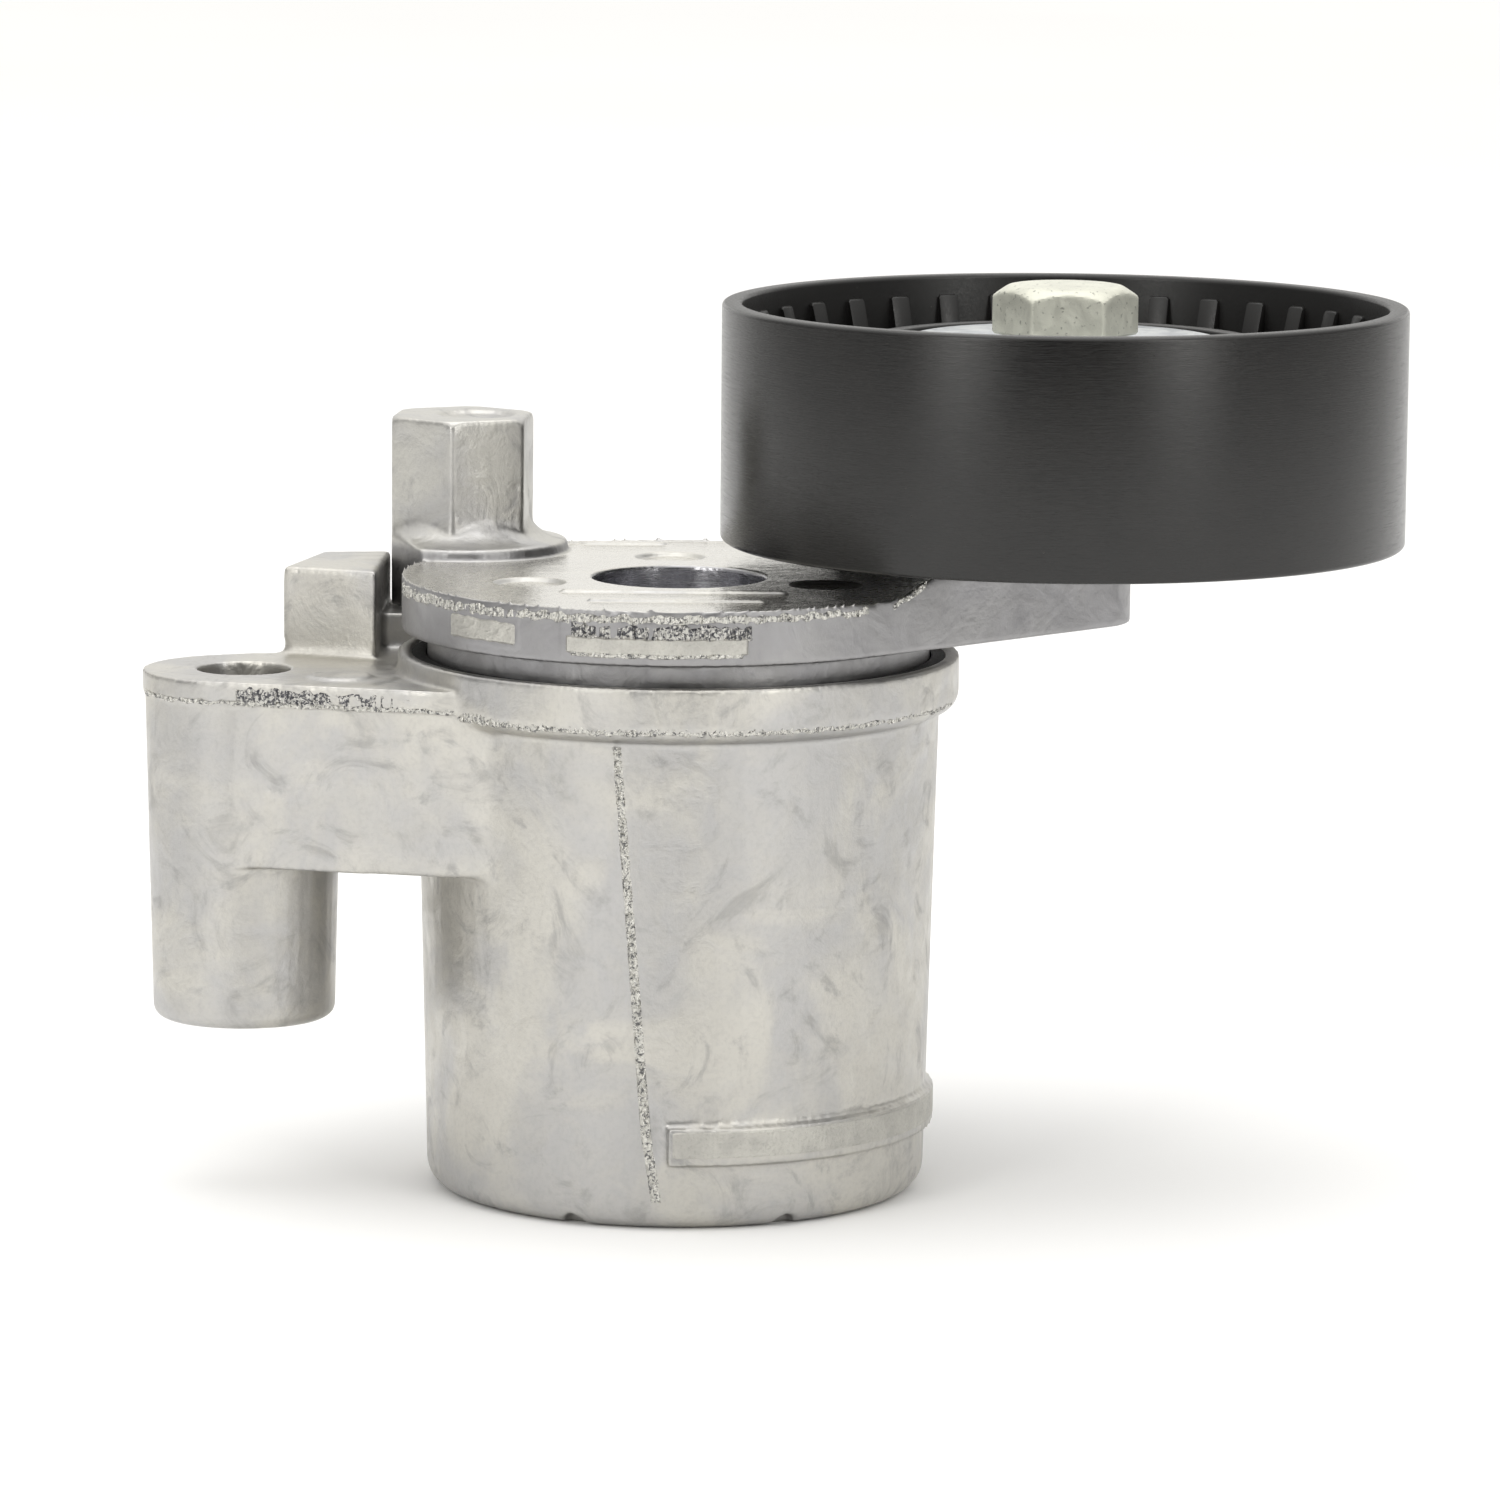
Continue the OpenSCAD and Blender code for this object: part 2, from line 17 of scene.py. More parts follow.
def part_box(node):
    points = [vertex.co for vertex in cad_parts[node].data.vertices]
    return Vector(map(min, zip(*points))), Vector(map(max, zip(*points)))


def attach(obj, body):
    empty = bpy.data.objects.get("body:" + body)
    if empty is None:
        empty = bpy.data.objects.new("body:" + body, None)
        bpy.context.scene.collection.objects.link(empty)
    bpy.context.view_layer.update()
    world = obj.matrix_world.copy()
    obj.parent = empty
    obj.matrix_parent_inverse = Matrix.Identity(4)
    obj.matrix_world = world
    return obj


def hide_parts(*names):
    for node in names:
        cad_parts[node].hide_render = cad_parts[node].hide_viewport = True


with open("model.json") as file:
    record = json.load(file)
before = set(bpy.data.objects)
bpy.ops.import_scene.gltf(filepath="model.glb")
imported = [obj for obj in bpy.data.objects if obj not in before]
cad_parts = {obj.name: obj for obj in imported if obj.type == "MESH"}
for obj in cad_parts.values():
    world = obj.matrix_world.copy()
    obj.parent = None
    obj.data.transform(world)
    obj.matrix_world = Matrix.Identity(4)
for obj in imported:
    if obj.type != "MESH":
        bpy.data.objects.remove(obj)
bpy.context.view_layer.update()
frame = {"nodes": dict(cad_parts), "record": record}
MM = 0.001


def node_box(node):
    """Lowest and highest corner of a CAD node, in millimetres."""
    low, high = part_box(node)
    return np.array(low) / MM, np.array(high) / MM


# ---------------------------------------------------------------- places worked out from the frame
PULLEY_LOW, PULLEY_HIGH = node_box("pulley")
COVER_LOW, COVER_HIGH = node_box("upper_dust_cover")
LOWER_COVER_LOW, LOWER_COVER_HIGH = node_box("lower_dust_cover")
BOLT_LOW, BOLT_HIGH = node_box("pulley_bolt")
OUTER_RING_LOW, OUTER_RING_HIGH = node_box("bearing_outer_ring")

HEAD_TOP = 66.8
HEAD_R = 30.1
COLLAR_R = 30.5
COLLAR_BOTTOM = 52.8
CUP_TOP_R = 28.4
CUP_BOTTOM_R = 27.2
PIN_WELL_R = 9.45
FRONT_EAR = np.array([-47.1, -2.5])
PLATE_R = 10.95
PLATE_END = np.array([-23.2, -19.8])
LOBE = np.array([-24.4, 21.5])

PULLEY_C = (PULLEY_LOW + PULLEY_HIGH) / 2
PULLEY_R = (PULLEY_HIGH[0] - PULLEY_LOW[0]) / 2
PULLEY_W = PULLEY_HIGH[2] - PULLEY_LOW[2]
RIM_T = 2.2
RIB_COUNT = 36
RIB_T = 2.2
BOLT_C = ((BOLT_LOW + BOLT_HIGH) / 2)[:2]
BOLT_R = 5.0
BOLT_ACROSS_FLATS = 14.0
WASHER_FACE_R = 6.8
COVER_R = 17.5
LOWER_COVER_R = 17.0
COVER_BORE_R = 5.15


def cup_radius(z):
    """Radius of the drafted cup wall at a height."""
    return CUP_BOTTOM_R + (CUP_TOP_R - CUP_BOTTOM_R) * z / COLLAR_BOTTOM


# ---------------------------------------------------------------- mesh helpers
def make_object(name, verts, faces, smooth=True):
    mesh = bpy.data.meshes.new(name)
    mesh.from_pydata([tuple(v) for v in np.asarray(verts, float) * MM], [], faces)
    mesh.validate()
    mesh.polygons.foreach_set("use_smooth", [smooth] * len(mesh.polygons))
    obj = bpy.data.objects.new(name, mesh)
    bpy.context.scene.collection.objects.link(obj)
    return obj


def baked(obj):
    """The object's mesh with its modifiers applied."""
    bpy.context.view_layer.update()
    graph = bpy.context.evaluated_depsgraph_get()
    mesh = bpy.data.meshes.new_from_object(obj.evaluated_get(graph))
    old = obj.data
    obj.modifiers.clear()
    obj.data = mesh
    mesh.name = obj.name
    if old.users == 0:
        bpy.data.meshes.remove(old)
    return obj


def sharpen(obj, angle=35):
    """Smooth shading that breaks at real edges."""
    mesh = obj.data
    mesh.polygons.foreach_set("use_smooth", [True] * len(mesh.polygons))
    bm = bmesh.new()
    bm.from_mesh(mesh)
    limit = math.radians(angle)
    for edge in bm.edges:
        if len(edge.link_faces) == 2:
            edge.smooth = edge.calc_face_angle(0) < limit
    bm.to_mesh(mesh)
    bm.free()
    return obj


def rounded(points, radius, steps=4):
    """A closed outline with each corner turned into an arc. radius is one number, or one for each corner."""
    count = len(points)
    radii = radius if hasattr(radius, "__len__") else [radius] * count
    out = []
    for i in range(count):
        here = np.array(points[i], float)
        back = np.array(points[i - 1], float) - here
        ahead = np.array(points[(i + 1) % count], float) - here
        back_len, ahead_len = np.linalg.norm(back), np.linalg.norm(ahead)
        back, ahead = back / back_len, ahead / ahead_len
        half = math.acos(max(-1, min(1, float(back @ ahead)))) / 2
        if radii[i] <= 0 or half > math.radians(88):
            out.append(here)
            continue
        cut = min(radii[i] / math.tan(half), 0.45 * back_len, 0.45 * ahead_len)
        true_r = cut * math.tan(half)
        middle = (back + ahead) / np.linalg.norm(back + ahead)
        centre = here + middle * true_r / math.sin(half)
        first, last = here + back * cut - centre, here + ahead * cut - centre
        a0 = math.atan2(first[1], first[0])
        turn = (math.atan2(last[1], last[0]) - a0 + math.pi) % (2 * math.pi) - math.pi
        for k in range(steps + 1):
            a = a0 + turn * k / steps
            out.append(centre + true_r * np.array([math.cos(a), math.sin(a)]))
    return np.array(out)


def lathe(profile, centre=(0, 0), segments=160):
    """Verts and faces of a closed profile of (radius, height) turned about a vertical axis."""
    count = len(profile)
    angles = np.linspace(0, 2 * math.pi, segments, endpoint=False)
    verts = [
        (centre[0] + r * math.cos(a), centre[1] + r * math.sin(a), z)
        for a in angles for r, z in profile
    ]
    faces = []
    for s in range(segments):
        here, there = s * count, (s + 1) % segments * count
        for k in range(count):
            m = (k + 1) % count
            faces.append((here + k, there + k, there + m, here + m))
    return verts, faces


def spun(profile, centre=(0, 0), segments=128):
    """As lathe, for an open profile that starts and ends on the axis."""
    inner = profile[1:-1]
    count = len(inner)
    angles = np.linspace(0, 2 * math.pi, segments, endpoint=False)
    verts = [
        (centre[0] + r * math.cos(a), centre[1] + r * math.sin(a), z)
        for a in angles for r, z in inner
    ]
    first, last = len(verts), len(verts) + 1
    verts += [(centre[0], centre[1], profile[0][1]), (centre[0], centre[1], profile[-1][1])]
    faces = []
    for s in range(segments):
        here, there = s * count, (s + 1) % segments * count
        for k in range(count - 1):
            faces.append((here + k, there + k, there + k + 1, here + k + 1))
        faces.append((first, there, here))
        faces.append((last, here + count - 1, there + count - 1))
    return verts, faces


def joined(*parts):
    verts, faces = [], []
    for part_verts, part_faces in parts:
        offset = len(verts)
        verts += list(part_verts)
        faces += [tuple(i + offset for i in face) for face in part_faces]
    return verts, faces


def smoothstep(low, high, x):
    t = np.clip((x - low) / (high - low), 0, 1)
    return t * t * (3 - 2 * t)


def hash01(cells, seed):
    """A number from 0 to 1 for each row of whole numbers."""
    value = np.full(cells.shape[0], float(seed) * 12.9898)
    for axis, factor in enumerate((127.1, 311.7, 74.7)[: cells.shape[1]]):
        value = value + cells[:, axis] * factor
    return np.modf(np.abs(np.sin(value) * 43758.5453))[0]


def value_noise(points, size, seed=0):
    """Smooth noise from -1 to 1 with features about size millimetres across."""
    scaled = np.asarray(points, float) / size
    cell = np.floor(scaled)
    part = scaled - cell
    part = part * part * (3 - 2 * part)
    total = np.zeros(len(scaled))
    for corner in np.ndindex(*(2,) * scaled.shape[1]):
        weight = np.ones(len(scaled))
        for axis, side in enumerate(corner):
            weight = weight * (part[:, axis] if side else 1 - part[:, axis])
        total += weight * hash01(cell + np.array(corner), seed)
    return total * 2 - 1


# ---------------------------------------------------------------- castings rebuilt from their CAD solids
def casting(node, name, voxel, keep_faces, fillets, ease=4):
    """A soft-edged copy of a CAD casting. fillets are (centre, reach, rounds) regions that are eased more."""
    source = frame["nodes"][node].data.copy()
    bm = bmesh.new()
    bm.from_mesh(source)
    bmesh.ops.remove_doubles(bm, verts=bm.verts, dist=0.002 * MM)
    bm.to_mesh(source)
    bm.free()
    obj = bpy.data.objects.new(name, source)
    bpy.context.scene.collection.objects.link(obj)
    remesh = obj.modifiers.new("skin", "REMESH")
    remesh.mode = "VOXEL"
    remesh.voxel_size = voxel * MM
    remesh.use_smooth_shade = True
    baked(obj)
    co = np.empty(len(obj.data.vertices) * 3)
    obj.data.vertices.foreach_get("co", co)
    co = co.reshape(-1, 3) / MM
    for number, (centre, reach, rounds) in enumerate(fillets):
        distance = np.linalg.norm((co - np.array(centre)) / np.array(reach), axis=1)
        weight = 1 - smoothstep(0.7, 1.0, distance)
        group = obj.vertex_groups.new(name=f"ease_{number}")
        picked = np.nonzero(weight > 0.02)[0]
        for level in np.unique(np.round(weight[picked], 1)):
            members = picked[np.round(weight[picked], 1) == level]
            group.add(members.tolist(), float(level), "REPLACE")
        soft = obj.modifiers.new(f"fillet_{number}", "SMOOTH")
        soft.factor = 0.5
        soft.iterations = rounds
        soft.vertex_group = group.name
    soft = obj.modifiers.new("ease", "SMOOTH")
    soft.factor = 0.5
    soft.iterations = ease
    faces = len(obj.data.polygons) * 2
    if faces > keep_faces:
        thin = obj.modifiers.new("thin", "DECIMATE")
        thin.ratio = keep_faces / faces
    baked(obj)
    obj.vertex_groups.clear()
    obj.data.polygons.foreach_set("use_smooth", [True] * len(obj.data.polygons))
    return obj


# ---------------------------------------------------------------- materials
class Shader:
    """A small helper that builds one Principled material from nodes."""

    def __init__(self, name, **sockets):
        self.material = bpy.data.materials.new(name)
        self.material.use_nodes = True
        self.tree = self.material.node_tree
        self.bsdf = self.tree.nodes["Principled BSDF"]
        for key, value in sockets.items():
            self.bsdf.inputs[key.replace("_", " ")].default_value = value
        self.coords = self.tree.nodes.new("ShaderNodeTexCoord").outputs["Object"]

    def link(self, source, target):
        if isinstance(source, bpy.types.NodeSocket):
            self.tree.links.new(source, target)
        else:
            target.default_value = source

    def math(self, operation, a, b=0.0):
        node = self.tree.nodes.new("ShaderNodeMath")
        node.operation = operation
        self.link(a, node.inputs[0])
        self.link(b, node.inputs[1])
        return node.outputs[0]

    def stretched(self, scale):
        node = self.tree.nodes.new("ShaderNodeMapping")
        self.link(self.coords, node.inputs["Vector"])
        node.inputs["Scale"].default_value = scale
        return node.outputs[0]

    def noise(self, size, detail=3.0, rough=0.55, warp=0.0, vector=None):
        """Noise from 0 to 1 with features about size millimetres across."""
        node = self.tree.nodes.new("ShaderNodeTexNoise")
        self.link(vector or self.coords, node.inputs["Vector"])
        node.inputs["Scale"].default_value = 1 / (size * MM)
        node.inputs["Detail"].default_value = detail
        node.inputs["Roughness"].default_value = rough
        node.inputs["Distortion"].default_value = warp
        return node.outputs["Fac"]

    def voronoi(self, size, vector=None):
        node = self.tree.nodes.new("ShaderNodeTexVoronoi")
        self.link(vector or self.coords, node.inputs["Vector"])
        node.inputs["Scale"].default_value = 1 / (size * MM)
        return node.outputs["Distance"]

    def ramp(self, value, low, high, out_low=0.0, out_high=1.0):
        node = self.tree.nodes.new("ShaderNodeMapRange")
        node.interpolation_type = "SMOOTHSTEP"
        self.link(value, node.inputs["Value"])
        node.inputs["From Min"].default_value = low
        node.inputs["From Max"].default_value = high
        self.link(out_low, node.inputs["To Min"])
        self.link(out_high, node.inputs["To Max"])
        return node.outputs["Result"]

    def mix(self, fac, a, b):
        node = self.tree.nodes.new("ShaderNodeMix")
        node.data_type = "RGBA"
        self.link(fac, node.inputs["Factor"])
        for socket, value in ((node.inputs["A"], a), (node.inputs["B"], b)):
            if isinstance(value, bpy.types.NodeSocket):
                self.tree.links.new(value, socket)
            else:
                socket.default_value = (*value, 1)
        return node.outputs["Result"]

    def blend(self, fac, a, b):
        node = self.tree.nodes.new("ShaderNodeMix")
        self.link(fac, node.inputs["Factor"])
        self.link(a, node.inputs["A"])
        self.link(b, node.inputs["B"])
        return node.outputs["Result"]

    def bump(self, *layers):
        """Stacks (height, distance in millimetres) bumps onto the shader's normal."""
        normal = None
        for height, distance in layers:
            node = self.tree.nodes.new("ShaderNodeBump")
            node.inputs["Distance"].default_value = distance * MM
            self.link(height, node.inputs["Height"])
            if normal is not None:
                self.link(normal, node.inputs["Normal"])
            normal = node.outputs["Normal"]
        self.link(normal, self.bsdf.inputs["Normal"])

    def axes(self):
        node = self.tree.nodes.new("ShaderNodeSeparateXYZ")
        self.link(self.coords, node.inputs[0])
        return node.outputs

    def radius(self, centre):
        """Distance from a vertical axis, in millimetres."""
        x, y, _ = self.axes()
        dx = self.math("SUBTRACT", x, centre[0] * MM)
        dy = self.math("SUBTRACT", y, centre[1] * MM)
        squares = self.math("ADD", self.math("MULTIPLY", dx, dx), self.math("MULTIPLY", dy, dy))
        return self.math("DIVIDE", self.math("SQRT", squares), MM)

    def up(self):
        """How far the surface faces up, from -1 to 1, in the part's own frame."""
        node = self.tree.nodes.new("ShaderNodeSeparateXYZ")
        self.link(self.tree.nodes["Texture Coordinate"].outputs["Normal"], node.inputs[0])
        return node.outputs[2]

    def done(self, colour, roughness):
        self.link(colour, self.bsdf.inputs["Base Color"])
        self.link(roughness, self.bsdf.inputs["Roughness"])
        return self.material


def cast_aluminium(name, cool, warm, dark, machined_r=None, glossy_top=False, wall_shade=0.0):
    s = Shader(name, Metallic=1.0)
    broad = s.noise(14, 4, 0.6, warp=0.6)
    cloud = s.noise(5, 5, 0.62, warp=1.2)
    fine = s.noise(0.5, 4, 0.6)
    grain = s.noise(0.14, 2, 0.5)
    stain = s.ramp(s.noise(9, 6, 0.68, warp=2.0), 0.5, 0.72)
    colour = s.mix(s.ramp(broad, 0.38, 0.62), cool, warm)
    colour = s.mix(s.math("MULTIPLY", stain, 0.75), colour, dark)
    colour = s.mix(s.ramp(cloud, 0.35, 0.75, 0.0, 0.35), colour, tuple(1.12 * c for c in warm))
    colour = s.mix(s.ramp(fine, 0.42, 0.7, 0.0, 0.16), colour, tuple(0.7 * c for c in cool))
    # painted shade: upright walls away from the boss are darkened towards the shaded colour, standing in for
    # the pulley's shadow
    if wall_shade:
        x, _, z = s.axes()
        upright = s.ramp(s.up(), 0.35, 0.8, wall_shade, 0.0)
        under_boss = s.ramp(z, 67.4 * MM, 68.6 * MM, 1.0, 0.0)
        off_boss = s.math("MAXIMUM", s.ramp(x, -16 * MM, -12 * MM), under_boss)
        shaded = (0.6 * cool[0], 0.6 * cool[1], 0.63 * cool[2])
        colour = s.mix(s.math("MULTIPLY", upright, off_boss), colour, shaded)
    roughness = s.ramp(cloud, 0.3, 0.7, 0.34, 0.5)
    roughness = s.math("ADD", roughness, s.ramp(stain, 0, 1, 0.0, 0.08))
    if glossy_top:
        low_faces = s.ramp(s.axes()[2], (HEAD_TOP + 0.6) * MM, (HEAD_TOP + 1.1) * MM, 1.0, 0.0)
        top = s.math("MULTIPLY", s.ramp(s.up(), 0.9, 0.99), low_faces)
        colour = s.mix(s.math("MULTIPLY", top, 0.8), colour, (0.74, 0.72, 0.67))
        roughness = s.blend(s.math("MULTIPLY", top, 0.8), roughness, s.ramp(fine, 0.3, 0.7, 0.14, 0.26))
    if machined_r:
        inside = s.ramp(s.radius((0, 0)), machined_r - 0.1, machined_r + 0.15, 1.0, 0.0)
        turning = s.noise(0.12, 2, 0.5, vector=s.stretched((0.02, 0.02, 1)))
        roughness = s.blend(inside, roughness, s.ramp(turning, 0.3, 0.7, 0.1, 0.24))
        colour = s.mix(inside, colour, (0.62, 0.62, 0.66))
    s.bump((broad, 0.25), (cloud, 0.10), (fine, 0.025), (grain, 0.008))
    return s.done(colour, roughness)


def blasted_aluminium(name, base, tint):
    s = Shader(name, Metallic=1.0)
    cloud = s.noise(3, 3, 0.6)
    grain = s.noise(0.35, 4, 0.7)
    colour = s.mix(s.ramp(cloud, 0.35, 0.65), base, tint)
    colour = s.mix(s.ramp(grain, 0.5, 0.75, 0.0, 0.35), colour, tuple(0.6 * c for c in base))
    s.bump((grain, 0.10))
    return s.done(colour, s.ramp(grain, 0.3, 0.7, 0.4, 0.58))


def torn_aluminium(name, bright, dark, split):
    """Fresh trimmed flash: bright facets, with painted shade in the torn grooves between them."""
    s = Shader(name, Metallic=1.0)
    cells = s.voronoi(0.5, vector=s.stretched((1, 1, 0.45)))
    tears_and_shade = s.noise(0.35, 3, 0.6, warp=0.8)
    # painted shade: the dark colour in the torn grooves stands in for their shade
    colour = s.mix(s.ramp(tears_and_shade, split, split + 0.12), bright, dark)
    roughness = s.ramp(cells, 0.1, 0.6, 0.18, 0.42)
    s.bump((cells, 0.35), (tears_and_shade, 0.22))
    return s.done(colour, roughness)


def moulded_black(name):
    s = Shader(name, Specular_IOR_Level=0.5, IOR=1.5)
    streaks = s.noise(0.05, 3, 0.7, vector=s.stretched((0.012, 0.012, 1)))
    patches = s.noise(6, 3, 0.6)
    specks = s.ramp(s.voronoi(2.6), 0.0, 0.035, 1.0, 0.0)
    cloth = s.noise(0.25, 3, 0.6)
    colour = s.mix(s.ramp(patches, 0.3, 0.7), (0.0075, 0.0072, 0.0070), (0.010, 0.0095, 0.0090))
    colour = s.mix(s.math("MULTIPLY", specks, 0.35), colour, (0.22, 0.21, 0.18))
    worn = s.ramp(s.radius(PULLEY_C), PULLEY_R - 0.4, PULLEY_R - 0.1)
    rough_rim = s.ramp(streaks, 0.3, 0.75, 0.15, 0.32)
    rough_body = s.ramp(cloth, 0.3, 0.7, 0.3, 0.45)
    roughness = s.blend(worn, rough_body, rough_rim)
    s.bump((s.math("MULTIPLY", streaks, worn), 0.012), (cloth, 0.006), (patches, 0.02))
    return s.done(colour, roughness)


def zinc_plate(name, base, tint, rough=(0.28, 0.42), speck=0.25, metal=1.0):
    s = Shader(name, Metallic=metal)
    cloud = s.noise(2.5, 4, 0.6, warp=0.8)
    fine = s.noise(0.22, 3, 0.6)
    dots = s.ramp(s.noise(0.5, 2, 0.5), 0.62, 0.72)
    colour = s.mix(s.ramp(cloud, 0.35, 0.65), base, tint)
    colour = s.mix(s.math("MULTIPLY", dots, speck), colour, (0.10, 0.10, 0.09))
    roughness = s.ramp(cloud, 0.3, 0.7, rough[0], rough[1])
    s.bump((fine, 0.02), (cloud, 0.05))
    return s.done(colour, roughness)


def turned_steel(name, base, rough=(0.12, 0.28)):
    s = Shader(name, Metallic=1.0)
    rings = s.noise(0.06, 2, 0.5, vector=s.stretched((0.05, 0.05, 1)))
    cloud = s.noise(3, 3, 0.6)
    colour = s.mix(s.ramp(cloud, 0.35, 0.65), base, tuple(0.82 * c for c in base))
    s.bump((rings, 0.006))
    return s.done(colour, s.ramp(rings, 0.3, 0.7, rough[0], rough[1]))


def dull_polymer(name, base, rough=(0.42, 0.6), grain=0.015):
    s = Shader(name, IOR=1.5)
    cloud = s.noise(3, 4, 0.6)
    fine = s.noise(0.2, 3, 0.6)
    colour = s.mix(s.ramp(cloud, 0.3, 0.7), base, tuple(0.75 * c for c in base))
    s.bump((fine, grain))
    return s.done(colour, s.ramp(fine, 0.3, 0.7, rough[0], rough[1]))


MATERIALS = {
    "cast_base": cast_aluminium("cast_base", (0.465, 0.46, 0.455), (0.56, 0.545, 0.505), (0.33, 0.325, 0.32)),
    # the arm's upright walls get painted shade
    "cast_arm": cast_aluminium(
        "cast_arm", (0.47, 0.465, 0.46), (0.55, 0.54, 0.505), (0.34, 0.335, 0.335), PIN_WELL_R,
        glossy_top=True, wall_shade=0.8,
    ),
    # the dark colours of both torn finishes are painted shade in the torn grooves
    "torn": torn_aluminium("torn_aluminium", (0.66, 0.65, 0.61), (0.20, 0.20, 0.20), 0.50),
    "torn_shaded": torn_aluminium("torn_shaded", (0.62, 0.61, 0.58), (0.10, 0.10, 0.11), 0.44),
    "gate_metal": blasted_aluminium("gate_metal", (0.56, 0.55, 0.51), (0.48, 0.47, 0.44)),
    "pulley_plastic": moulded_black("pulley_plastic"),
    "zinc_steel": zinc_plate("zinc_steel", (0.56, 0.59, 0.62), (0.66, 0.68, 0.68)),
    "zinc_bolt": zinc_plate("zinc_bolt", (0.62, 0.62, 0.54), (0.70, 0.70, 0.61), (0.42, 0.56), 0.5, 0.55),
    "pivot_steel": turned_steel("pivot_steel", (0.50, 0.50, 0.51)),
    "bearing_steel": turned_steel("bearing_steel", (0.62, 0.62, 0.63), (0.06, 0.16)),
    "spring_steel": turned_steel("spring_steel", (0.22, 0.22, 0.23), (0.25, 0.4)),
    "bushing_bronze": turned_steel("bushing_bronze", (0.45, 0.30, 0.16), (0.25, 0.4)),
    "bearing_plastic": dull_polymer("bearing_plastic", (0.62, 0.59, 0.50)),
    "black_plastic": dull_polymer("black_plastic", (0.025, 0.025, 0.026)),
    "seal_rubber": dull_polymer("seal_rubber", (0.016, 0.016, 0.016), (0.5, 0.7), 0.03),
    "cage_plastic": dull_polymer("cage_plastic", (0.50, 0.42, 0.25)),
}
NODE_SLOTS = {entry["node"]: entry["material_slot"] for entry in frame["record"]["subparts"]}


def dress(obj, material):
    obj.data.materials.clear()
    obj.data.materials.append(MATERIALS[material])


for node_name, node_obj in frame["nodes"].items():
    dress(node_obj, NODE_SLOTS[node_name])


def place(obj, body, slot, *nodes, material=None):
    """Puts a finished piece on its body, with its finish, in place of the CAD nodes that it stands for."""
    dress(obj, material or slot)
    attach(obj, body)
    if nodes:
        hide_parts(*nodes)
    return obj


# ---------------------------------------------------------------- base and arm castings
base = casting(
    "base_housing", "cast_base", 0.32, 190_000,
    [
        ((-38, 14, 57), (10, 13, 2.4), 40),
        ((-20.5, -20, 46), (5, 5, 11), 70),
        ((-38, 14, 66.5), (9, 13, 3), 8),
        ((-26, -17, 36.5), (8, 8, 2.5), 16),
    ], 2,
)
place(base, "base", "cast_base", "base_housing")
arm = casting(
    "tensioner_arm", "cast_arm", 0.28, 190_000,
    [
        ((LOBE[0], LOBE[1], HEAD_TOP + 3.5), (12, 12, 3.5), 14),
        ((24, -17, HEAD_TOP + 1.5), (10, 10, 3.0), 30),
        ((28, 12, HEAD_TOP + 1.5), (10, 30, 2.6), 16),
    ], 2,
)


def lower_gate_pads(obj, radius, low, high, start, end):
    """Takes the smoothed pads back to the rim; rough skins are laid over them."""
    count = len(obj.data.vertices)
    flat = np.empty(count * 3)
    obj.data.vertices.foreach_get("co", flat)
    points = flat.reshape(-1, 3)
    r = np.hypot(points[:, 0], points[:, 1])
    turn = np.degrees(np.arctan2(points[:, 1], points[:, 0]))
    reach = radius * MM
    pads = (r > reach) & (r < reach * 1.03) & (turn > start) & (turn < end)
    pads &= (points[:, 2] > low * MM) & (points[:, 2] < high * MM)
    points[pads, :2] *= (reach / r[pads])[:, None]
    obj.data.vertices.foreach_set("co", points.ravel())
    obj.data.update()


lower_gate_pads(arm, HEAD_R + 0.06, 61.6, 66.4, -146, -72)
place(arm, "arm", "cast_arm", "tensioner_arm")


# ---------------------------------------------------------------- trimmed flash and gate marks
def arc(centre, radius, start, sweep, step=0.16):
    """Points along an arc and the directions out of it."""
    count = max(8, int(math.radians(sweep) * radius / step))
    a = np.radians(np.linspace(start, start + sweep, count))
    ways = np.stack([np.cos(a), np.sin(a)], 1)
    return np.array(centre) + radius * ways, ways


def straight(start, end, out, step=0.16):
    count = max(8, int(np.linalg.norm(np.subtract(end, start)) / step))
    t = np.linspace(0, 1, count)[:, None]
    return np.array(start) * (1 - t) + np.array(end) * t, np.tile(np.array(out, float), (count, 1))


